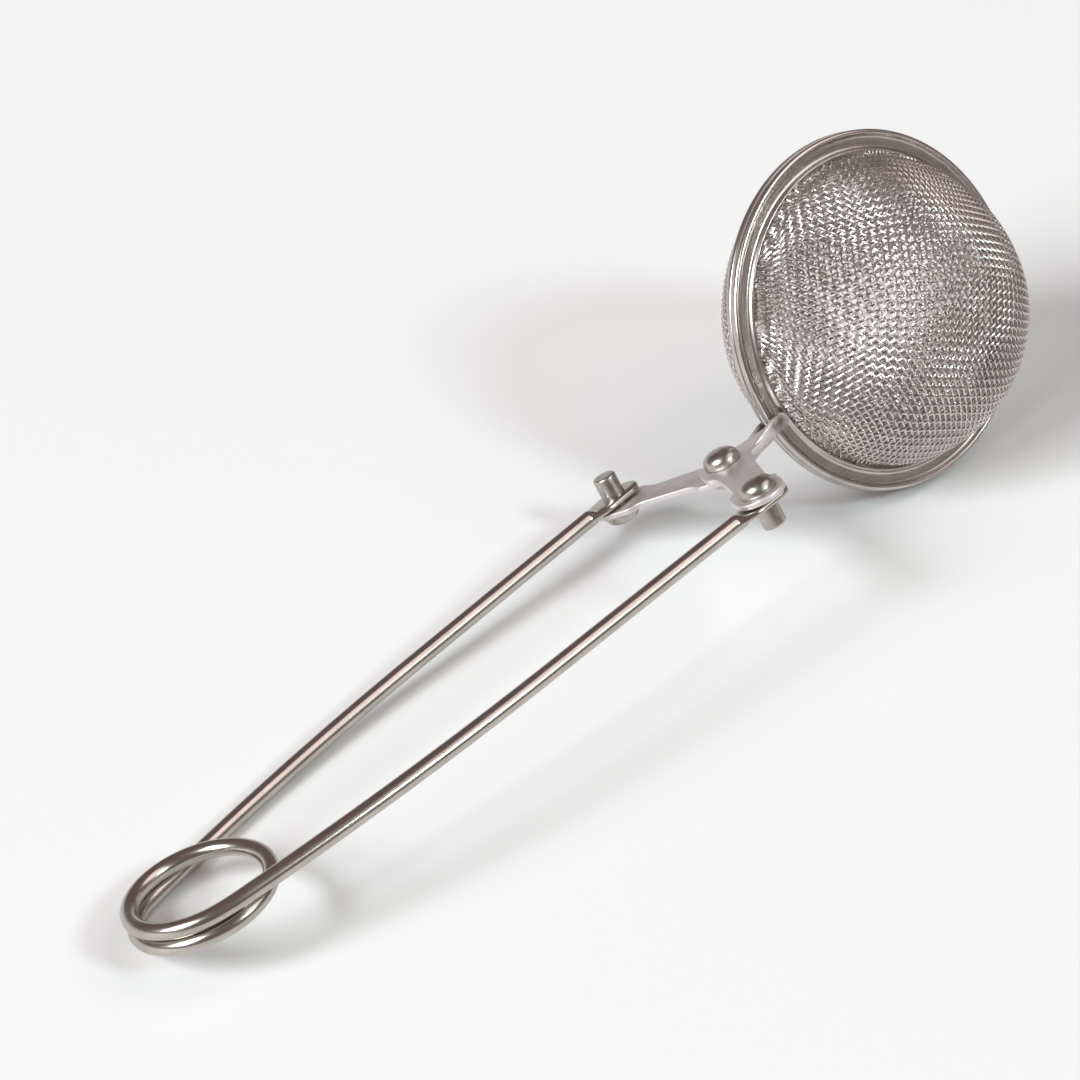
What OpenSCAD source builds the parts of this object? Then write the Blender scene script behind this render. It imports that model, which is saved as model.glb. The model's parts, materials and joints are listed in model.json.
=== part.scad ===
// Squeeze-handle tea ball: two mesh bowls on a pair of levers, held shut by a sprung wire.
// The linkage is drawn with its main pivot at the origin, X towards the ball, Y to the
// left and Z along the pivots. lay_down() then turns it to lie as it rests on a table.

/* [Ball] */

// Outside diameter of the two rims
rim_d = 50; // [46:0.5:54]
// How far each rim stands out from the seam
rim_t = 1.4; // [1.3:0.1:1.8]
// Width of each rim, from its outer edge to the mesh
rim_w = 3.05; // [2.8:0.05:3.5]
// How far each bowl stands out beyond its rim
bowl_rise = 19; // [15:0.5:20]
// Wall of the bowls, as a plain sheet in place of the woven mesh
mesh_t = 0.5; // [0.4:0.1:0.8]
// Distance from the main pivot to the ball's centre
reach = 33.9; // [32:0.1:37]
// Height of the ball's centre above the lever plates
lift = 4.4; // [2:0.1:5]

/* [Wire handle] */

// Diameter of the spring wire
wire_d = 2.3; // [2:0.1:2.5]
// Diameter of the coil, at the middle of the wire
coil_d = 18.8; // [17:0.2:21]
// Space between the coil's turns
coil_space = 0.1; // [0.1:0.05:0.4]
// Distance from the coil's centre to the main pivot
handle_l = 97.6; // [90:0.5:110]
// Angle at which each arm leaves the coil
splay = 12.8; // [12:0.2:16]
// Distance between the two arm rivets
rivet_gap = 32.4; // [30:0.2:34]
// How far the arm rivets lie behind the main pivot
rivet_back = 7.7; // [6:0.1:9]
// Thickness of the flattened ends of the wire
tab_t = 1.1; // [0.9:0.1:1.4]
// Half the width of the flattened ends, and the radius of their rounded tips
tab_r = 2.4; // [2.2:0.1:3]

/* [Levers and rivets] */

// Thickness of the stamped levers
plate_t = 0.8; // [0.6:0.1:1]
// Width of the lever legs, between their eyes
leg_w = 4.5; // [4:0.1:5]
// Radius of the lever eyes
eye_r = 3.3; // [3.1:0.1:3.6]
// Height of the welded tab above its plate
weld_h = 1.4; // [1:0.1:2]
// Radius of the rivet shanks
shank_r = 1.3; // [1.1:0.1:1.4]
// Radius of the domed rivet heads
head_r = 2.6; // [2.4:0.1:2.8]
// Height of the domed rivet heads
head_h = 1.7; // [1.2:0.1:2]
// Radius of the long rivet ends
stub_r = 1.55; // [1.5:0.05:1.7]
// Length of the long rivet ends
stub_l = 3; // [2:0.1:3.5]

/* [Hidden] */

$fn = 64;
LEFT = 1;
RIGHT = -1;

// Clearances: turning fits, faces that slide, welded or crimped faces, and cut ends of the wire
fit = 0.05;
slide = 0.15;
seat = 0.05;
wire_cut = 0.2;
// Room in the left lever's pivot hole for the part of its path that the joints leave out
pivot_play = 0.5;

rim_r = rim_d / 2;
rim_in_r = rim_r - rim_w;
roll_r = 0.6;      // rolled outer edge of a rim
bead_r = 0.5;      // bead beside the mesh
bowl_r = rim_in_r - 2 * seat;
bowl_skirt = 0.3;  // the bowl's edge starts this far from the seam
bowl_steps = 18;

coil_r = coil_d / 2;
coil_pitch = wire_d + coil_space;
coil_slant = asin(coil_pitch / (4 * coil_r));
coil_tilt = atan(0.75 * coil_pitch / coil_r);
bridge_l = 0.4;       // straight length between two half-turns
bridge_extra = 0.02;  // how much thicker it is, so that it closes over both ends

lever_z = slide / 2;
tab_z = slide + tab_t / 2;
rivet_y = rivet_gap / 2;
press_l = 2.4;     // length over which the wire is pressed flat
press_end = 5.4;   // where the flattening starts, before the rivet
tab_ahead = 1.5;   // centre of the rounded tip, past the rivet
arm_inner = 0.8;   // edges of a lever's arm, from the handle's centre line
arm_outer = 3.8;
arm_tip = 2.4;
weld_t = 0.7;
arm_end = reach - sqrt(rim_r ^ 2 - (lift - plate_t) ^ 2) - 2 * slide;
weld_end = arm_end + 3.1;

// ---------- places ----------

function turn_x(p, a) = [p.x, p.y * cos(a) - p.z * sin(a), p.y * sin(a) + p.z * cos(a)];
function turn_y(p, a) = [p.x * cos(a) + p.z * sin(a), p.y, p.z * cos(a) - p.x * sin(a)];

// Where the wire leaves the coil for an arm, in the linkage's frame
function coil_exit(side) =
    turn_x([-coil_r * sin(splay), side * coil_r * cos(splay),
            -side * coil_pitch * (2 + cos(splay)) / 4], coil_tilt) - [handle_l, 0, 0];

// The bowl's outline from its edge to its top, as [radius, height above the seam]
function bowl_curve(inset) = [for (i = [0:bowl_steps])
    let (a = 90 * i / bowl_steps)
    [(bowl_r - inset) * cos(a), rim_t + (bowl_rise - inset) * sin(a)]];

wire_start = coil_exit(LEFT);
bend_r = (rivet_y - wire_start.y) / (1 - cos(splay));
bend_end = wire_start.x + bend_r * sin(splay);
arm_run = -rivet_back - wire_start.x;
arm_rise = tab_z - wire_start.z;

// Round points that cover the outside of the ball and of the handle, each [place, radius].
// They are only used to find how the part lies.
on_ball = concat(
    [for (side = [LEFT, RIGHT], a = [0:5:355])
        [[reach + (rim_r - roll_r) * cos(a), side * (rim_t - roll_r), lift + (rim_r - roll_r) * sin(a)], roll_r]],
    [for (side = [LEFT, RIGHT], a = [0:5:355], p = bowl_curve(0))
        [[reach + p.x * cos(a), side * p.y, lift + p.x * sin(a)], 0]]
);
on_handle = concat(
    [for (turn = [-1:1], a = [0:5:175])
        let (flip = turn == 0 ? 1 : -1, way = 90 + a + (turn == 0 ? 180 : 0))
        [turn_x([coil_r * cos(way), coil_r * sin(way), (2 * turn + flip * sin(way)) * coil_pitch / 4], coil_tilt)
            - [handle_l, 0, 0], wire_d / 2]],
    [for (side = [LEFT, RIGHT], a = [0:splay / 16:splay])
        let (x = bend_end - bend_r * sin(a), climb = (x - wire_start.x) / arm_run)
        [[x, side * (rivet_y - bend_r * (1 - cos(a))), side * (wire_start.z + arm_rise * climb)], wire_d / 2]]
);

function laid(p, lean, pitch) = turn_y(turn_x(p, -lean), -pitch);
function low(balls, axis, lean, pitch) = min([for (b = balls) laid(b[0], lean, pitch)[axis] - b[1]]);
function high(balls, axis, lean, pitch) = max([for (b = balls) laid(b[0], lean, pitch)[axis] + b[1]]);

// The lean at which the ball rests on a rim and a bowl at once
function rim_gap(lean) =
    (rim_r - roll_r) * cos(lean) + (rim_t - roll_r) * sin(lean) + roll_r
    - max([for (p = bowl_curve(0)) p.x * cos(lean) + p.y * sin(lean)]);
function find_lean(from, to, steps) =
    let (mid = (from + to) / 2)
    steps == 0 ? mid
    : rim_gap(mid) > 0 ? find_lean(mid, to, steps - 1)
    : find_lean(from, mid, steps - 1);

// The pitch at which the ball and the handle touch the table together
function find_pitch(lean, from, to, steps) =
    let (mid = (from + to) / 2)
    steps == 0 ? mid
    : low(on_ball, 2, lean, mid) < low(on_handle, 2, lean, mid) ? find_pitch(lean, mid, to, steps - 1)
    : find_pitch(lean, from, mid, steps - 1);

lean = find_lean(10, 60, 24);
pitch = find_pitch(lean, 0, 15, 16);
whole = concat(on_ball, on_handle);
base = [
    (low(whole, 0, lean, pitch) + high(whole, 0, lean, pitch)) / 2,
    (low(whole, 1, lean, pitch) + high(whole, 1, lean, pitch)) / 2,
    low(whole, 2, lean, pitch)
];

module lay_down() {
    translate(-base) rotate([-lean, -pitch, 0]) children();
}

// Draws the left-hand form, or the same turned half round the handle's axis for the right
module on_side(side) {
    rotate([side == LEFT ? 0 : 180, 0, 0]) children();
}

// ---------- wire handle ----------

// One half-turn of the coil, slanted so that it rises by half the pitch
module half_turn(number, from, to) {
    middle = number == 1;
    translate([0, 0, (number - 1) * coil_pitch / 2])
        rotate([middle ? coil_slant : -coil_slant, 0, 0])
        rotate([0, 0, from])
        rotate_extrude(angle = to - from)
        translate([coil_r, 0]) circle(d = wire_d);
}

// The half-turns stop just short of each other, and a short straight length joins each pair
module coil() {
    start = splay + wire_cut / coil_r * 180 / PI;
    stop = bridge_l / 4 / coil_r * 180 / PI;
    color("silver") translate([-handle_l, 0, 0]) rotate([coil_tilt, 0, 0]) {
        half_turn(0, 90 + start, 270 - stop);
        half_turn(1, -90 + stop, 90 - stop);
        half_turn(2, 90 + stop, 270 - start);
        for (side = [LEFT, RIGHT])
            translate([0, side * coil_r * cos(coil_slant), side * coil_pitch / 4])
                rotate([0, 90, 0])
                cylinder(d = wire_d + bridge_extra, h = bridge_l, center = true);
    }
}

// The wire from its coil to its tab: a long bend that ends parallel to the handle
module arm_rod() {
    translate(wire_start) rotate([0, -atan(arm_rise / arm_run), 0]) {
        translate([bend_end - wire_start.x, rivet_y - wire_start.y - bend_r, 0])
            rotate([0, 0, 90])
            rotate_extrude(angle = splay)
            translate([bend_r, 0]) circle(d = wire_d);
        translate([bend_end - wire_start.x - bridge_l / 2, rivet_y - wire_start.y, 0])
            rotate([0, 90, 0])
            cylinder(d = wire_d + bridge_extra, h = press_l - press_end - rivet_back - bend_end);
    }
}

// Two wedges that the press takes off the wire above and below its flattened end
module press_cuts() {
    slope = atan((wire_d - tab_t) / 2 / press_l);
    for (up = [0, 180])
        translate([-rivet_back - press_end, rivet_y, tab_z])
            rotate([up, 0, 0])
            translate([0, 0, wire_d / 2])
            rotate([0, slope, 0])
            translate([-0.5, -wire_d, 0]) cube([3 * press_l, 2 * wire_d, wire_d]);
}

module wire_tab() {
    translate([-rivet_back, rivet_y, tab_z - tab_t / 2])
        linear_extrude(tab_t) {
            translate([tab_ahead, 0]) circle(tab_r);
            polygon([
                [-press_end, -wire_d / 3], [-tab_ahead, -tab_r], [tab_ahead, -tab_r],
                [tab_ahead, tab_r], [-tab_ahead, tab_r], [-press_end, wire_d / 3]
            ]);
        }
}

module arm_wire(side) {
    color("silver") on_side(side) difference() {
        union() {
            difference() {
                arm_rod();
                press_cuts();
            }
            wire_tab();
        }
        translate([-rivet_back, rivet_y, tab_z]) cylinder(r = shank_r + fit, h = 2 * tab_t, center = true);
    }
}

// ---------- levers ----------

// The stamped outline of the left lever: two eyes, the leg between them and the arm to the ball
module lever_outline() {
    leg_l = norm([rivet_back, rivet_y]);
    circle(eye_r);
    translate([-rivet_back, rivet_y]) circle(eye_r);
    rotate([0, 0, atan2(rivet_y, -rivet_back)])
        translate([0, -leg_w / 2]) square([leg_l, leg_w]);
    polygon([[0, -arm_inner], [arm_end, -arm_inner], [arm_end, arm_tip], [1.5, arm_outer], [-1.5, arm_outer]]);
}

// The end of a lever's arm, bent up and welded flat on the face of its rim
module weld_tab(side) {
    bottom = side == LEFT ? -lever_z - plate_t : lever_z;
    face_y = rim_t + seat;
    translate([arm_end - 1, side == LEFT ? face_y : -face_y - weld_t, bottom])
        cube([weld_end - arm_end + 1, weld_t, plate_t + weld_h]);
}

module lever(side) {
    pivot_hole = shank_r + (side == LEFT ? pivot_play : 0) + fit;
    color("gainsboro") union() {
        on_side(side) translate([0, 0, -lever_z - plate_t]) difference() {
            linear_extrude(plate_t) lever_outline();
            translate([0, 0, -1]) cylinder(r = pivot_hole, h = plate_t + 2);
            translate([-rivet_back, rivet_y, -1]) cylinder(r = shank_r + fit, h = plate_t + 2);
        }
        weld_tab(side);
    }
}

// ---------- rivets ----------

// A round head standing on z = 0: a short edge with a spherical cap
module domed_head(r, h) {
    edge = h / 4;
    rise = h - edge;
    cap_r = (r ^ 2 + rise ^ 2) / (2 * rise);
    rotate_extrude() intersection() {
        translate([0, h - cap_r]) circle(cap_r);
        square([r, h]);
    }
}

// Holds the two levers together, with a head above and a lower one below
module pivot_rivet() {
    top = lever_z + plate_t + seat;
    color("silver") {
        translate([0, 0, top]) domed_head(head_r, head_h);
        translate([0, 0, -top]) rotate([180, 0, 0]) domed_head(head_r, head_h * 0.7);
        translate([0, 0, -top - 0.1]) cylinder(r = shank_r, h = 2 * top + 0.2);
    }
}

// Holds an arm's tab on its lever: a head under the plate and a long end above the tab
module arm_rivet(side) {
    head_z = -lever_z - plate_t - seat;
    stub_z = tab_z + tab_t / 2 + seat;
    color("silver") on_side(side) translate([-rivet_back, rivet_y, 0]) {
        translate([0, 0, head_z]) rotate([180, 0, 0]) domed_head(head_r, head_h);
        translate([0, 0, head_z - 0.1]) cylinder(r = shank_r, h = stub_z - head_z + 0.2);
        translate([0, 0, stub_z]) cylinder(r = stub_r, h = stub_l);
    }
}

// ---------- ball ----------

// Puts a shape drawn about Z, standing on the seam, on its side of the ball
module half_ball(side) {
    translate([reach, 0, lift]) rotate([side == LEFT ? -90 : 90, 0, 0]) children();
}

// A rim: a flat channel with a rolled outer edge and a bead beside the mesh
module rim(side) {
    color("silver") half_ball(side) rotate_extrude($fn = 128) {
        translate([rim_in_r, seat]) square([rim_w, rim_t - roll_r - seat]);
        translate([rim_r - roll_r, rim_t - roll_r]) circle(roll_r);
        translate([rim_in_r + bead_r, rim_t - bead_r]) circle(bead_r);
    }
}

module mesh_bowl(side) {
    inner = bowl_curve(mesh_t);
    color("darkgray") half_ball(side) rotate_extrude($fn = 128)
        polygon(concat(
            [[bowl_r, bowl_skirt]],
            bowl_curve(0),
            [for (i = [bowl_steps:-1:0]) inner[i]],
            [[bowl_r - mesh_t, bowl_skirt]]
        ));
}

lay_down() {
    coil();
    arm_wire(LEFT);  // left_arm_wire
    arm_wire(RIGHT);  // right_arm_wire
    lever(LEFT);  // left_lever
    lever(RIGHT);  // right_lever
    pivot_rivet();
    arm_rivet(LEFT);  // left_rivet
    arm_rivet(RIGHT);  // right_rivet
    rim(LEFT);  // left_rim
    rim(RIGHT);  // right_rim
    mesh_bowl(LEFT);  // left_mesh_bowl
    mesh_bowl(RIGHT);  // right_mesh_bowl
}
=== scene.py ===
"""Looks for the squeeze-handle tea ball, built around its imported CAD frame.

Shapes are drawn in millimetres in the linkage's own frame: the main pivot at the origin,
X towards the ball, Y to the left and Z along the pivots. place() takes them to the stored frame.
"""
import json
import math

import bmesh
import bpy
import numpy as np
from mathutils import Matrix, Vector


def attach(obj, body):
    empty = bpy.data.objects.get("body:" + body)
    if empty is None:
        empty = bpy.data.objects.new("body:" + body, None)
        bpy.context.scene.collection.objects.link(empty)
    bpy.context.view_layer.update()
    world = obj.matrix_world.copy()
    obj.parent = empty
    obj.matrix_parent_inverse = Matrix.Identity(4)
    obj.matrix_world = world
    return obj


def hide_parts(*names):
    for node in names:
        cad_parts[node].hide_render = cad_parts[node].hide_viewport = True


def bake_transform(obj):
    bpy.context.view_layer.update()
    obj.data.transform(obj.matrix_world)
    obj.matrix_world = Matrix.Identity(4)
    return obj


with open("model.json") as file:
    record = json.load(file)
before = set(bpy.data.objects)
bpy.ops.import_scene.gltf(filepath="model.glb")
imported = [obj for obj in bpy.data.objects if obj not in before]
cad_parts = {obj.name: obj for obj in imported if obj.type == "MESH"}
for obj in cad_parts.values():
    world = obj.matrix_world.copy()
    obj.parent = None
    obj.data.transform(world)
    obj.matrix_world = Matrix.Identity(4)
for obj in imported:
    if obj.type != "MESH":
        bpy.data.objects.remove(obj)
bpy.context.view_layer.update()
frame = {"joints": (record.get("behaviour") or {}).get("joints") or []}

LEFT, RIGHT = 1, -1
SIDES = ((LEFT, "left"), (RIGHT, "right"))
MM = 0.001
SHARP = math.radians(50)     # edges steeper than this stay sharp

# Driving sizes, in millimetres
HANDLE_L = 97.6              # coil centre to main pivot
COIL_R = 9.4                 # to the middle of the wire
COIL_PITCH = 2.4
COIL_TILT = math.radians(10.84)
SPLAY = math.radians(12.8)   # of the arms where they leave the coil
SPLAY_END = math.radians(0.8)
WIRE_R = 1.15
WIRE_STEP = 0.25             # between the points of the wire's path
RIVET_X, RIVET_Y = -7.7, 16.2
TAB_T = 1.1                  # the wire's flattened ends
TAB_HALF_W = 2.4
TAB_Z = 0.15 + TAB_T / 2
PLATE_T = 0.8
LEVER_Z = 0.075              # the plates' inner faces, from the middle plane
WELD_X, WELD_Y, WELD_Z = 9.8, 1.8, 1.2
HEAD_R = 2.6                 # of the rivets
HEAD_H, LOW_HEAD_H = 2.0, 1.4
HEAD_Z = LEVER_Z + PLATE_T + 0.05
SHANK_R = 1.3
SHANK_BITE = 0.1             # how far a shank runs into its heads
STUB_R, STUB_H = 1.65, 3.0   # an arm rivet's straight end
STUB_Z = TAB_Z + TAB_T / 2 + 0.02
BALL_X, BALL_Z = 33.9, 4.4
RIM_R = 25.0
SEAM = 0.05                  # half the gap between the two rims
MESH_R = 21.6                # bowl at its edge, to the middle of the weave
MESH_RISE = 19.7             # bowl's top from the seam, to the middle of the weave
MESH_BASE = 0.9              # height of the bowl's widest ring
WAIST = 0.7                  # depth of the fold where the weave leaves the rim
PITCH = 0.91                 # of the weave
MESH_WIRE_R = 0.165
WEAVE_TURN = math.radians(-12)


# ---------- the linkage's frame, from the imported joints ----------

joints = {j["name"]: j for j in frame["joints"]}
up = Vector(joints["right_arm_squeeze"]["axis"]).normalized()
left_rivet_at = Vector(joints["left_lever_turn"]["pos_m"])
right_rivet_at = Vector(joints["right_lever_turn"]["pos_m"])
leftward = (left_rivet_at - right_rivet_at).normalized()
forward = leftward.cross(up)
AXES = np.array([forward, leftward, up])
ORIGIN = np.array((left_rivet_at + right_rivet_at) / 2) - RIVET_X * MM * AXES[0]


def place(points):
    """Linkage millimetres to stored-frame metres."""
    return np.asarray(points, float) @ AXES * MM + ORIGIN


# ---------- mesh helpers ----------

def make(name, points, faces, uvs, material, body, node):
    """A mesh piece from linkage points, riding on a body and standing for a CAD node."""
    mesh = bpy.data.meshes.new(name)
    mesh.from_pydata(place(points).tolist(), [], [list(map(int, f)) for f in faces])
    layer = mesh.uv_layers.new(name="along")
    loop_points = np.empty(len(mesh.loops), int)
    mesh.loops.foreach_get("vertex_index", loop_points)
    layer.data.foreach_set("uv", np.asarray(uvs, float)[loop_points].ravel())
    bm = bmesh.new()
    bm.from_mesh(mesh)
    bmesh.ops.recalc_face_normals(bm, faces=bm.faces)
    bm.to_mesh(mesh)
    bm.free()
    mesh.shade_smooth()
    mesh.set_sharp_from_angle(angle=SHARP)
    mesh.materials.append(material)
    piece = bpy.data.objects.new(name, mesh)
    bpy.context.scene.collection.objects.link(piece)
    if body:
        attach(piece, body)
    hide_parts(node)
    return piece


def join_parts(parts):
    """Several (points, faces, uvs) as one."""
    points, faces, uvs, start = [], [], [], 0
    for p, f, uv in parts:
        points.append(p)
        uvs.append(uv)
        faces += [[i + start for i in face] for face in f]
        start += len(p)
    return np.concatenate(points), faces, np.concatenate(uvs)


def ring_faces(rings, sides, closed=False):
    """Quads between neighbouring rings, and flat ends unless the rings close on themselves."""
    faces = []
    for i in range(rings if closed else rings - 1):
        a, b = i * sides, (i + 1) % rings * sides
        faces += [(a + k, a + (k + 1) % sides, b + (k + 1) % sides, b + k) for k in range(sides)]
    if not closed:
        faces.append(tuple(range(sides))[::-1])
        faces.append(tuple(range((rings - 1) * sides, rings * sides)))
    return faces


def unit(v):
    return v / np.linalg.norm(v, axis=-1, keepdims=True)


def turns(count):
    """Evenly spaced angles round a full turn."""
    return np.arange(count) * 2 * math.pi / count


def lengths(path):
    """Distance along a path to each of its points."""
    return np.concatenate([[0], np.cumsum(np.linalg.norm(np.diff(path, axis=0), axis=1))])


def sweep(path, half_w, half_h, power=2.0, sides=28):
    """A bar along a path: superellipse sections, wide across the path and high along Z."""
    rings = len(path)
    tangent = unit(np.gradient(path, axis=0))
    across = unit(np.cross((0, 0, 1), tangent))
    over = np.cross(tangent, across)
    way = turns(sides)
    roundness = 2 / np.broadcast_to(power, rings)[:, None]

    def offset(wave, half):
        return np.sign(wave) * np.abs(wave) ** roundness * np.broadcast_to(half, rings)[:, None]

    w = offset(np.cos(way), half_w)
    h = offset(np.sin(way), half_h)
    points = path[:, None] + across[:, None] * w[..., None] + over[:, None] * h[..., None]
    uvs = np.stack(np.broadcast_arrays(lengths(path)[:, None], way[None] * WIRE_R), -1)
    return points.reshape(-1, 3), ring_faces(rings, sides), uvs.reshape(-1, 2)


def lathe(profile, centre, axis, segments, closed=False):
    """Turns (radius, height) points about an axis through centre, height along the axis."""
    profile = np.asarray(profile, float)
    axis = np.asarray(axis, float)
    first = np.array((1.0, 0, 0))
    second = np.cross(axis, first)
    way = turns(segments)
    outward = np.cos(way)[:, None] * first + np.sin(way)[:, None] * second
    points = (np.asarray(centre, float) + profile[:, 0, None, None] * outward[None]
              + profile[:, 1, None, None] * axis)
    around = way[None] * profile[:, :1].max()
    uvs = np.stack(np.broadcast_arrays(around, lengths(profile)[:, None]), -1)
    return points.reshape(-1, 3), ring_faces(len(profile), segments, closed), uvs.reshape(-1, 2)


def arc(centre, radius, start, end, steps):
    """Points on an arc, angles in degrees."""
    way = np.radians(np.linspace(start, end, steps))
    return np.stack([centre[0] + radius * np.cos(way), centre[1] + radius * np.sin(way)], -1)


def rounded_outline(corners, steps=9):
    """A closed outline from (x, y, radius) corners, each rounded by an arc."""
    corners = np.asarray(corners, float)
    outline = []
    for i, (x, y, r) in enumerate(corners):
        here = np.array((x, y))
        back = unit(corners[i - 1][:2] - here)
        ahead = unit(corners[(i + 1) % len(corners)][:2] - here)
        half = math.acos(float(np.clip(back @ ahead, -1, 1))) / 2
        middle = here + unit(back + ahead) * r / math.sin(half)
        first = here + back * r / math.tan(half) - middle
        last = here + ahead * r / math.tan(half) - middle
        start = math.atan2(first[1], first[0])
        turn = (math.atan2(last[1], last[0]) - start + math.pi) % (2 * math.pi) - math.pi
        way = start + turn * np.linspace(0, 1, steps)
        outline += [middle + r * np.array((math.cos(a), math.sin(a))) for a in way]
    return np.array(outline)


def plate(outline, low, high, edge):
    """A stamped plate between two heights, its edges rounded by a few short steps."""
    before, after = np.roll(outline, 1, axis=0), np.roll(outline, -1, axis=0)
    ahead = after - before
    twice_area = np.sum(outline[:, 0] * after[:, 1] - after[:, 0] * outline[:, 1])
    outward = unit(np.stack([ahead[:, 1], -ahead[:, 0]], -1)) * np.sign(twice_area)
    rising = np.radians((0, 30, 60, 90))
    insets = edge * (1 - np.sin(rising))
    lifts = edge * (1 - np.cos(rising))
    levels = list(zip(insets, low + lifts)) + list(zip(insets, high - lifts))[::-1]
    points = np.concatenate([
        np.column_stack([outline - outward * inset, np.full(len(outline), z)])
        for inset, z in levels
    ])
    return points, ring_faces(len(levels), len(outline)), points[:, :2].copy()


# ---------- materials ----------

def shader_of(material):
    """A material's node tree, its link maker and its main shader."""
    material.use_nodes = True
    tree = material.node_tree
    return tree, tree.links.new, tree.nodes["Principled BSDF"]


def add_node(tree, kind, **values):
    """A new shader node with inputs set by name, a _ standing for each space."""
    node = tree.nodes.new(f"ShaderNode{kind}")
    for name, value in values.items():
        node.inputs[name.replace("_", " ")].default_value = value
    return node


def steel(name, dark, light, rough, coords="Object", scale=(900, 900, 900), bump=0.02, grain=400):
    """Bare stainless steel: two close tones, uneven polish and fine lines from drawing or rolling.

    scale stretches the fine lines, per metre along each of the coordinates' axes."""
    material = bpy.data.materials.new(name)
    tree, link, shader = shader_of(material)
    shader.inputs["Metallic"].default_value = 1.0
    where = add_node(tree, "TexCoord")

    cloud = add_node(tree, "TexNoise", Scale=grain, Detail=4)
    link(where.outputs["Object"], cloud.inputs["Vector"])
    tones = add_node(tree, "ValToRGB")
    for stop, position, tone in zip(tones.color_ramp.elements, (0.3, 0.7), (dark, light)):
        stop.position = position
        stop.color = (*tone, 1)
    link(cloud.outputs["Fac"], tones.inputs["Fac"])
    link(tones.outputs["Color"], shader.inputs["Base Color"])

    stretch = add_node(tree, "Mapping", Scale=scale)
    link(where.outputs[coords], stretch.inputs["Vector"])
    lines = add_node(tree, "TexNoise", Scale=1, Detail=6)
    link(stretch.outputs["Vector"], lines.inputs["Vector"])
    polish = add_node(tree, "MapRange", From_Min=0.3, From_Max=0.7, To_Min=rough[0], To_Max=rough[1])
    link(lines.outputs["Fac"], polish.inputs["Value"])
    link(polish.outputs["Result"], shader.inputs["Roughness"])
    relief = add_node(tree, "Bump", Strength=bump, Distance=0.0002)
    link(lines.outputs["Fac"], relief.inputs["Height"])
    link(relief.outputs["Normal"], shader.inputs["Normal"])
    return material


def add_heat_tint(material, spot, reach, colour):
    """Browns the steel round a weld; spot is in the stored frame and reach in metres."""
    tree, link, shader = shader_of(material)
    untinted = shader.inputs["Base Color"].links[0].from_socket
    where = add_node(tree, "TexCoord")
    apart = add_node(tree, "VectorMath")
    apart.operation = "DISTANCE"
    apart.inputs[1].default_value = spot
    link(where.outputs["Object"], apart.inputs[0])
    wobble = add_node(tree, "TexNoise", Scale=1200)
    link(where.outputs["Object"], wobble.inputs["Vector"])
    ragged = add_node(tree, "Math")
    ragged.operation = "MULTIPLY_ADD"
    link(wobble.outputs["Fac"], ragged.inputs[0])
    ragged.inputs[1].default_value = reach
    link(apart.outputs["Value"], ragged.inputs[2])
    fade = add_node(tree, "MapRange", From_Min=reach * 1.7, From_Max=reach * 0.6, To_Max=0.9)
    link(ragged.outputs["Value"], fade.inputs["Value"])
    mix = add_node(tree, "Mix")
    mix.data_type = "RGBA"
    mix.inputs["B"].default_value = (*colour, 1)
    link(fade.outputs["Result"], mix.inputs["Factor"])
    link(untinted, mix.inputs["A"])
    link(mix.outputs["Result"], shader.inputs["Base Color"])


wire_steel = steel("wire_steel", (0.43, 0.395, 0.355), (0.53, 0.485, 0.44), (0.2, 0.27),
                   coords="UV", scale=(0.08, 2.5, 1), bump=0.01, grain=250)
plate_steel = steel("plate_steel", (0.70, 0.655, 0.66), (0.80, 0.755, 0.76), (0.45, 0.6),
                    scale=(1500, 6000, 6000), bump=0.05)
rivet_steel = steel("rivet_steel", (0.39, 0.36, 0.335), (0.51, 0.47, 0.44), (0.26, 0.38), bump=0.05)
rim_steel = steel("rim_steel", (0.50, 0.46, 0.44), (0.60, 0.55, 0.53), (0.22, 0.32),
                  coords="UV", scale=(0.06, 1.5, 1), bump=0.01)
mesh_steel = steel("mesh_steel", (0.57, 0.515, 0.505), (0.69, 0.63, 0.615), (0.26, 0.36), bump=0.02)

SCORCHED = (0.10, 0.06, 0.04)
SCORCH_REACH = 1.8 * MM
for material in (plate_steel, rim_steel):
    for side in (LEFT, RIGHT):
        weld = place([(WELD_X, WELD_Y * side, WELD_Z)])[0]
        add_heat_tint(material, weld, SCORCH_REACH, SCORCHED)


# ---------- wire handle ----------

def arm_path(end, side):
    """From the coil's end to the rivet: a long bend, then a straight length."""
    tip = np.array((RIVET_X, side * RIVET_Y))
    start = np.array(end[:2])
    straight = np.array((math.cos(SPLAY_END), side * math.sin(SPLAY_END)))
    across = np.array((-straight[1], straight[0]))
    # the bend's radius, so that its end lies on the straight line through the rivet
    turned = np.array((math.sin(SPLAY) - math.sin(SPLAY_END),
                       side * (math.cos(SPLAY_END) - math.cos(SPLAY))))
    radius = (tip - start) @ across / (turned @ across)
    bend = np.linspace(SPLAY, SPLAY_END, round(radius * (SPLAY - SPLAY_END) / WIRE_STEP))
    curve = start + radius * np.stack([
        math.sin(SPLAY) - np.sin(bend), side * (np.cos(bend) - math.cos(SPLAY))], -1)
    run = np.linalg.norm(tip - curve[-1])
    share = np.linspace(0, 1, round(run / WIRE_STEP))[1:, None]
    flat = np.concatenate([curve, curve[-1] + share * (tip - curve[-1])])
    climb = (flat[:, 0] - start[0]) / (tip[0] - start[0])
    height = end[2] + climb * (side * TAB_Z - end[2])
    return np.column_stack([flat, height])[1:]


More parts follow.
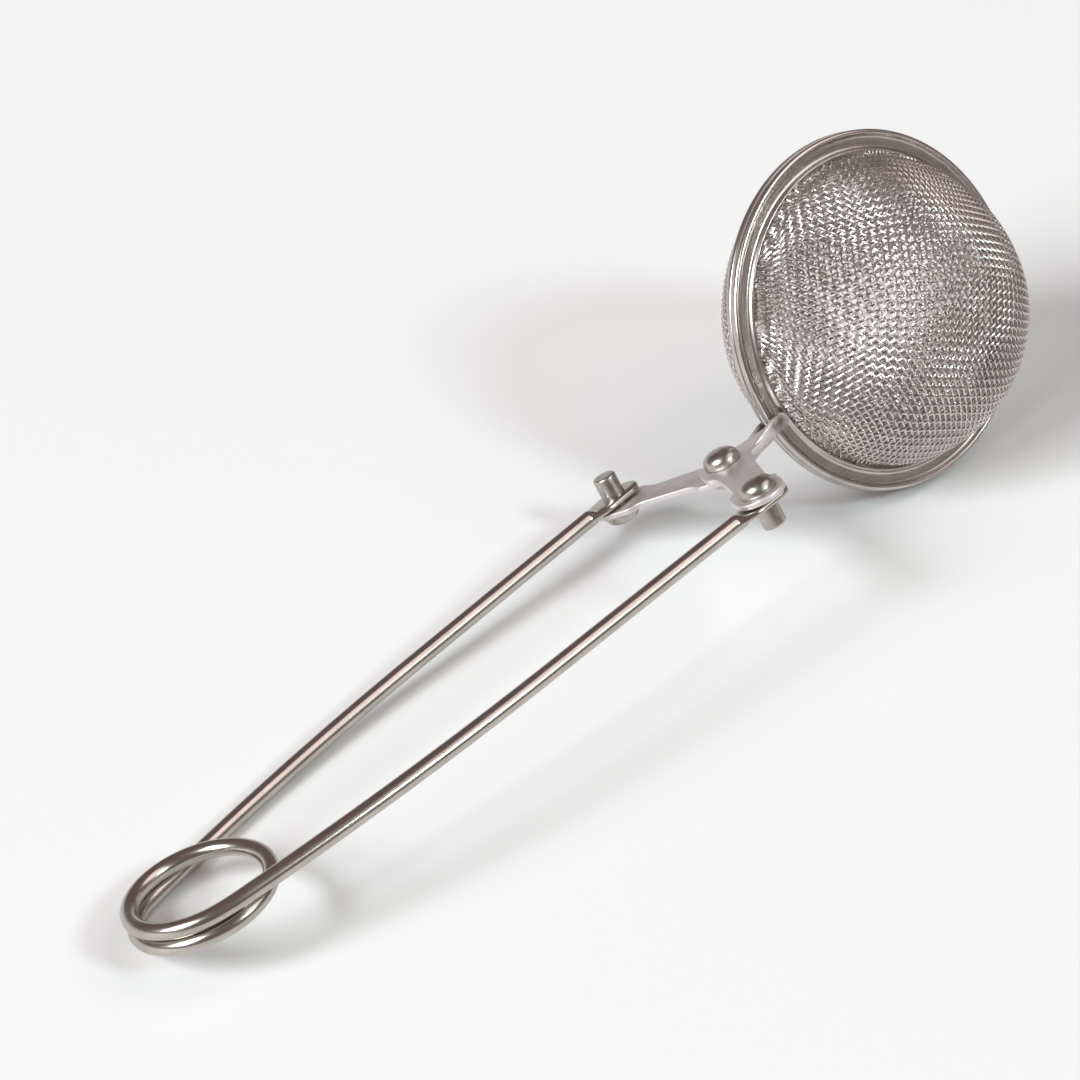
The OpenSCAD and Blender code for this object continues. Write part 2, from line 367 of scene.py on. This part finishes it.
def smoothed(path, reach=6, rounds=3):
    """Evens out the small corners where the coil meets the arms."""
    window = 2 * reach + 1
    for _ in range(rounds):
        padded = np.concatenate([path[:1].repeat(reach, 0), path, path[-1:].repeat(reach, 0)])
        mean = np.stack([np.convolve(padded[:, k], np.ones(window) / window, "valid")
                         for k in range(3)], -1)
        path[2 * reach:-2 * reach] = mean[2 * reach:-2 * reach]
    return path


def wire_path():
    """The middle of the whole wire, from the left rivet round the coil to the right rivet.

    Returns the points, and the first and last index of the coil."""
    rise = COIL_PITCH / (2 * math.pi)
    swept = 3 * math.pi - 2 * SPLAY
    way = np.linspace(-swept / 2, swept / 2, round(swept * COIL_R / WIRE_STEP))
    coil = np.stack([COIL_R * np.cos(way), COIL_R * np.sin(way), rise * way], -1)
    tilt = np.array([[1, 0, 0],
                     [0, math.cos(COIL_TILT), math.sin(COIL_TILT)],
                     [0, -math.sin(COIL_TILT), math.cos(COIL_TILT)]])
    coil = coil @ tilt - (HANDLE_L, 0, 0)
    left = arm_path(coil[0], LEFT)[::-1]
    right = arm_path(coil[-1], RIGHT)
    whole = smoothed(np.concatenate([left, coil, right]))
    return whole, len(left), len(left) + len(coil) - 1


def flattened(path):
    """An arm's path with its half widths, half heights and squareness, up to its rivet and on
    to the tab's rounded tip."""
    tip_start = 1.5                      # past the rivet
    press_start, press_l = 5.1, 1.0      # where the wire thins, before the rivet
    spread_start, spread_l = 5.4, 3.6    # where it widens
    past = tip_start + TAB_HALF_W
    ahead = unit(path[-1] - path[-8]) * (1, 1, 0)
    extra = path[-1] + np.linspace(0, past, 40)[1:, None] * ahead
    path = np.concatenate([path, extra])
    s = lengths(path)
    s -= s[-1] - past
    pressed = np.clip((s + press_start) / press_l, 0, 1)
    pressed = pressed * pressed * (3 - 2 * pressed)
    spread = np.clip((s + spread_start) / spread_l, 0, 1)
    spread = np.sin(spread * math.pi / 2)
    half_h = WIRE_R + (TAB_T / 2 - WIRE_R) * pressed
    half_w = WIRE_R + (TAB_HALF_W - WIRE_R) * spread
    tip = np.clip((s - tip_start) / TAB_HALF_W, 0, 0.995)
    half_w = half_w * np.sqrt(1 - tip ** 2)
    half_h = half_h * (1 - 0.35 * tip ** 8)
    return path, half_w, half_h, 2 + 1.6 * pressed


path, coil_start, coil_end = wire_path()
coil_wire = make("coil_wire", *sweep(path[coil_start:coil_end + 1], WIRE_R, WIRE_R),
                 wire_steel, "coil", "coil")
arm_paths = {LEFT: path[:coil_start + 1][::-1], RIGHT: path[coil_end:]}
for side, word in SIDES:
    arm_wire = make(f"{word}_arm", *sweep(*flattened(arm_paths[side])),
                    wire_steel, None, f"{word}_arm_wire")
    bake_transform(arm_wire)


# ---------- levers ----------

def mirrored(points, side):
    """Turns points half round the handle's axis for the right-hand side."""
    points = np.array(points, float)
    if side == RIGHT:
        points[:, 1:] *= -1
    return points


def lever_outline():
    """The left lever's outline: pivot eye, leg, rivet eye, and the arm to the ball."""
    rivet = np.array((RIVET_X, RIVET_Y))
    leg = unit(rivet)
    out = np.array((leg[1], -leg[0]))       # towards the ball, across the leg
    length = float(np.linalg.norm(rivet))
    eye, waist = 3.6, 2.35                  # half widths at the rivets and along the leg
    shoulder, neck = 3.2, 4.6               # from a rivet: its eye's end and the leg's start
    arm_end, arm_low, arm_high = 8.9, -0.75, 2.2
    crook = (2.6, 3.0)                      # where the arm meets the leg

    def at(along, across):
        return tuple(leg * along + out * across)

    return rounded_outline([
        (arm_end, arm_low, 0.3), (arm_end, arm_high, 0.3),
        (*crook, 1.2),
        (*at(length - neck, waist + 0.3), 3),
        (*at(length - shoulder, eye), 1.5),
        (*at(length + eye, eye), eye - 0.05), (*at(length + eye, -eye), eye - 0.05),
        (*at(length - shoulder, -eye), 1.5),
        (*at(length - neck, -waist), 3),
        (*at(neck, -waist), 3),
        (*at(shoulder, -eye), 1.5),
        (*at(-eye, -eye), eye - 0.1), (*at(-eye, eye * 0.9), eye - 0.6),
    ])


def weld_tab_part(side):
    """The edge of a lever's arm, bent up along a slope to lie flat on its rim's face."""
    slope_start, slope_end, tip = 4.4, 9.3, 11.3    # along X
    near_face, far_face = 1.47, 2.17                # from the seam
    foot = LEVER_Z if side == RIGHT else -LEVER_Z - PLATE_T
    top = foot + 2.1
    outline = rounded_outline([
        (slope_start, foot, 0.1), (tip, foot, 0.8), (tip, top, 0.8), (slope_end, top, 0.9),
        (slope_start, foot + PLATE_T, 0.3),
    ], steps=6)
    points, faces, uvs = plate(outline, near_face, far_face, 0.1)
    return points[:, [0, 2, 1]] * (1, side, 1), faces, uvs


for side, word in SIDES:
    flat, faces, uvs = plate(lever_outline(), -LEVER_Z - PLATE_T, -LEVER_Z, 0.16)
    parts = [(mirrored(flat, side), faces, uvs), weld_tab_part(side)]
    lever = make(f"{word}_lever_plate", *join_parts(parts), plate_steel, f"{word}_half", f"{word}_lever")


# ---------- rivets ----------

def dome_profile(height):
    """From the foot of a round head to its top: steep sides and a softly domed crown."""
    foot_h = 0.1
    way = np.linspace(0, math.pi / 2 - 0.02, 18)
    crown = np.stack([HEAD_R * np.cos(way) ** 0.75,
                      foot_h + (height - foot_h) * np.sin(way) ** 0.75], -1)
    return np.concatenate([[(HEAD_R * 0.6, 0), (HEAD_R - 0.08, 0)], crown])


def stub_profile():
    """From the foot of a straight rivet end to its top, with a rounded edge."""
    edge = 0.3
    corner = arc((STUB_R - edge, STUB_H - edge), edge, 0, 90, 6)
    return np.concatenate([[(STUB_R, -edge), (STUB_R, 0)], corner, [(0.02, STUB_H)]])


def shank_part(x, y, top, way):
    """A plain shank, from the head behind the middle plane to a height beyond it."""
    profile = [(SHANK_R, -HEAD_Z - SHANK_BITE), (SHANK_R, top + SHANK_BITE)]
    return lathe(profile, (x, y, 0), (0, 0, way), 32)


def pivot_parts(x, y):
    """The main rivet: a head on both sides."""
    return [
        lathe(dome_profile(HEAD_H), (x, y, HEAD_Z), (0, 0, 1), 40),
        lathe(dome_profile(LOW_HEAD_H), (x, y, -HEAD_Z), (0, 0, -1), 40),
        shank_part(x, y, HEAD_Z, 1),
    ]


def arm_rivet_parts(x, y, way):
    """An arm's rivet: a head on the lever, and a straight end through the wire's tab."""
    return [
        lathe(dome_profile(HEAD_H), (x, y, -way * HEAD_Z), (0, 0, -way), 40),
        lathe(stub_profile(), (x, y, way * STUB_Z), (0, 0, way), 36),
        shank_part(x, y, STUB_Z, way),
    ]


for node, parts, body in (
    ("pivot_rivet", pivot_parts(0, 0), "right_half"),
    ("left_rivet", arm_rivet_parts(RIVET_X, RIVET_Y, LEFT), "left_arm"),
    ("right_rivet", arm_rivet_parts(RIVET_X, -RIVET_Y, RIGHT), "right_arm"),
):
    rivet = make(f"{node}_turned", *join_parts(parts), rivet_steel, body, node)


# ---------- rims ----------

def ridge(across, centre, height, width):
    return height * np.exp(-((across - centre) / width) ** 2)


def rim_profile():
    """A pressed ring: seam face, outer wall, and two round ridges with a channel between."""
    inner = MESH_R - 0.1
    face = 0.7                              # height of the channel's floor
    outer_ridge, bead = RIM_R - 0.5, 22.1
    across = np.linspace(outer_ridge, inner, 36)
    height = face + ridge(across, outer_ridge, 0.48, 0.38) + ridge(across, bead, 0.55, 0.34)
    return np.concatenate([
        [(inner, SEAM), (RIM_R - 0.25, SEAM)],
        arc((RIM_R - 0.2, 0.2 + SEAM), 0.2, -90, 0, 4),
        arc((RIM_R - 0.45, 0.73), 0.45, 0, 84, 8),
        np.stack([across, height], -1),
    ])


for side, word in SIDES:
    part = lathe(rim_profile(), (BALL_X, 0, BALL_Z), (0, side, 0), 240, closed=True)
    rim = make(f"{word}_rim_ring", *part, rim_steel, f"{word}_half", f"{word}_rim")


# ---------- woven bowls ----------

def cloth_net(step, count):
    """Nodes of a cloth laid over a unit sphere from its top: every side keeps its length, and
    the cells shear into diamonds towards the diagonals. Nodes are [i, j], from -count to count."""
    quarter = np.zeros((count + 1, count + 1, 3))
    way = np.arange(count + 1) * step
    quarter[:, 0] = np.stack([np.sin(way), np.cos(way), 0 * way], -1)
    quarter[0, :] = np.stack([0 * way, np.cos(way), np.sin(way)], -1)
    for i in range(1, count + 1):
        for j in range(1, count + 1):
            plane = np.cross(quarter[i - 1, j], quarter[i, j - 1])
            before = quarter[i - 1, j - 1]
            quarter[i, j] = before - 2 * (before @ plane) * plane / (plane @ plane + 1e-12)
    half = np.concatenate([quarter[:0:-1] * (-1, 1, 1), quarter])
    return np.concatenate([half[:, :0:-1] * (1, 1, -1), half], axis=1)


# Dents and flats, pressed into each bowl: direction from its centre, depth and width
DENTS = (
    ((0.10, 0.98, -0.12), 0.5, 0.16),
    ((0.66, 0.48, 0.58), 1.5, 0.42),
    ((0.95, 0.35, -0.10), 0.6, 0.28),
    ((-0.50, 0.60, 0.50), 0.4, 0.35),
    ((-0.30, 0.60, -0.65), 0.6, 0.30),
)


def bowl_surface(direction):
    """Where the middle of the weave lies, for unit directions with Y out of the seam."""
    flat = np.hypot(direction[..., 0], direction[..., 2])
    rise = direction[..., 1]
    radius = 1 / np.hypot(flat / MESH_R, rise / (MESH_RISE - MESH_BASE))
    for spot, deep, wide in DENTS:
        away = np.linalg.norm(direction - unit(np.array(spot)), axis=-1)
        radius = radius - deep * np.exp(-(away / wide) ** 2) * np.clip(rise * 4, 0, 1)
    radius = radius - ridge(rise, 0.05, WAIST, 0.045)
    return direction * radius[..., None] + (0, MESH_BASE, 0)


def wire_tube(crest, middle, normal, sides=6):
    """One wire of the weave, passing over and under: through a crest at each crossing and
    through the weave's middle between crossings."""
    line = np.empty((2 * len(crest) - 1, 3))
    line[::2] = crest
    line[1::2] = (middle[1:] + middle[:-1]) / 2
    outward = np.empty_like(line)
    outward[::2] = normal
    outward[1::2] = unit(normal[1:] + normal[:-1])
    along = unit(np.gradient(line, axis=0))
    across = unit(np.cross(along, outward))
    out = np.cross(across, along)
    way = turns(sides) + math.pi / sides
    spokes = across[:, None] * np.cos(way)[:, None] + out[:, None] * np.sin(way)[:, None]
    rings = line[:, None] + MESH_WIRE_R * spokes
    length = np.arange(len(line))[:, None] * PITCH / 2
    uvs = np.stack(np.broadcast_arrays(length, way[None]), -1)
    return rings.reshape(-1, 3), ring_faces(len(line), sides), uvs.reshape(-1, 2)


def woven_bowl(turn):
    """All the wires of one bowl, its weave turned about its top, in two crossing families."""
    hem = 0.35               # wires start this far from the seam, inside the rim
    mean_r = (MESH_R + MESH_RISE - MESH_BASE) / 2
    count = math.ceil(math.pi / 2 * mean_r / PITCH) + 2
    spin = np.array([[math.cos(turn), 0, math.sin(turn)],
                     [0, 1, 0],
                     [-math.sin(turn), 0, math.cos(turn)]])
    net = cloth_net(PITCH / mean_r, count) @ spin
    middle = bowl_surface(net)
    normal = unit(np.cross(np.gradient(middle, axis=0), np.gradient(middle, axis=1)))
    normal *= np.sign(np.sum(normal * net, axis=-1, keepdims=True))
    i, j = np.indices(net.shape[:2])
    over = normal * np.where((i + j) % 2 == 0, MESH_WIRE_R, -MESH_WIRE_R)[..., None]
    kept = middle[..., 1] > hem
    lengthwise = (middle + over, middle, normal, kept)
    crosswise = tuple(grid.swapaxes(0, 1) for grid in (middle - over, middle, normal, kept))
    parts = []
    for family in (lengthwise, crosswise):
        for crest, mid, norm, keep in zip(*family):
            inside = np.flatnonzero(keep)
            if len(inside) < 4:
                continue
            run = slice(inside[0], inside[-1] + 1)
            parts.append(wire_tube(crest[run], mid[run], norm[run]))
    return join_parts(parts)


for side, word in SIDES:
    points, faces, uvs = woven_bowl(WEAVE_TURN * side)
    points = points * (1, side, 1) + (BALL_X, 0, BALL_Z)
    bowl = make(f"{word}_woven_bowl", points, faces, uvs,
                mesh_steel, f"{word}_half", f"{word}_mesh_bowl")


# ---------- camera, floor and light ----------

scene = bpy.context.scene
camera_data = bpy.data.cameras.new("camera")
camera_data.sensor_width = 36
camera_data.lens = 142.7
camera_data.clip_end = 20
camera = bpy.data.objects.new("camera", camera_data)
scene.collection.objects.link(camera)
scene.camera = camera
# The camera's place, and its right, top and back directions, in the linkage's frame
CAMERA_AT = (-299.2, -461.4, 176.7)
VIEW_AXES = np.array([
    (0.6865, -0.5658, -0.4568),
    (0.5465, -0.0129, 0.8374),
    (-0.4797, -0.8244, 0.3003),
])
facing = Matrix((VIEW_AXES @ AXES).T.tolist()).to_4x4()
camera.matrix_world = Matrix.Translation(place([CAMERA_AT])[0]) @ facing

bpy.ops.mesh.primitive_plane_add(size=16)
floor = bpy.context.object
floor.name = "floor"
floor_paint = bpy.data.materials.new("floor_paint")
*_, floor_shader = shader_of(floor_paint)
floor_shader.inputs["Base Color"].default_value = (0.8, 0.8, 0.8, 1)
floor_shader.inputs["Roughness"].default_value = 0.6
floor.data.materials.append(floor_paint)

BALL_AT = Vector((0.058, 0, 0.022))
LIGHT_FAR = 6.0          # metres
COOL, TEAL, CREAM, PINK = (0.95, 1, 1), (0.82, 1, 0.97), (1, 0.90, 0.89), (1, 0.735, 0.745)


def softbox(name, azimuth, elevation, power, size, colour):
    """A square light facing the ball from far off; azimuth is from +X towards +Y."""
    a, e = math.radians(azimuth), math.radians(elevation)
    way = Vector((math.cos(a) * math.cos(e), math.sin(a) * math.cos(e), math.sin(e)))
    data = bpy.data.lights.new(name, "AREA")
    data.shape = "SQUARE"
    data.size = size
    data.energy = power
    data.color = colour
    light = bpy.data.objects.new(name, data)
    scene.collection.objects.link(light)
    light.location = BALL_AT + LIGHT_FAR * way
    light.rotation_euler = (-way).to_track_quat("-Z", "Y").to_euler()


softbox("key", 161, 44, 65, 1.2, COOL)
softbox("wide", 168, 36, 350, 3.0, COOL)
softbox("fill", -72, 40, 125, 1.2, TEAL)
softbox("front", -30, 55, 80, 4, CREAM)

world = bpy.data.worlds.new("room")
scene.world = world
world.use_nodes = True
background = world.node_tree.nodes["Background"]
background.inputs["Color"].default_value = (*PINK, 1)
background.inputs["Strength"].default_value = 0.2
scene.view_settings.view_transform = "Standard"
